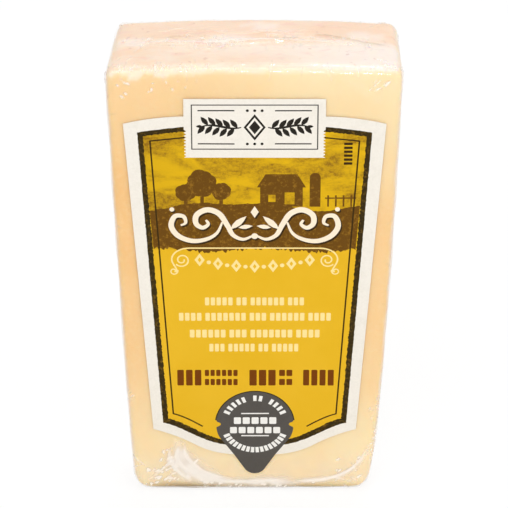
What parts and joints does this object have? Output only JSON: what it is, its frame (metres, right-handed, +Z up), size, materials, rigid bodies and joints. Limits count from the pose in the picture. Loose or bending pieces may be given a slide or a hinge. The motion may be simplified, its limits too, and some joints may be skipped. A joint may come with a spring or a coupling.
{
  "type": "wrapped vacherin cheese portion",
  "caption": "Film-wrapped wedge portion of washed-rind vacherin cheese with a printed paper label, standing on its narrow end.",
  "frame": {"origin": "middle of the foot that the portion stands on", "axes": "+Z up towards the rind, +Y from the labelled cut face to the plain one, +X to the right of the label"},
  "size_m": [0.0648, 0.0272, 0.112],
  "materials": {
    "wrapped_cheese": "pale yellow cheese with a pinkish rind, under clear glossy film",
    "label": "smooth printed paper, mustard and brown with a white border"
  },
  "bodies": {
    "root": {"wrapped_cheese": "wrapped_cheese", "label": "label"}
  },
  "joints": []
}
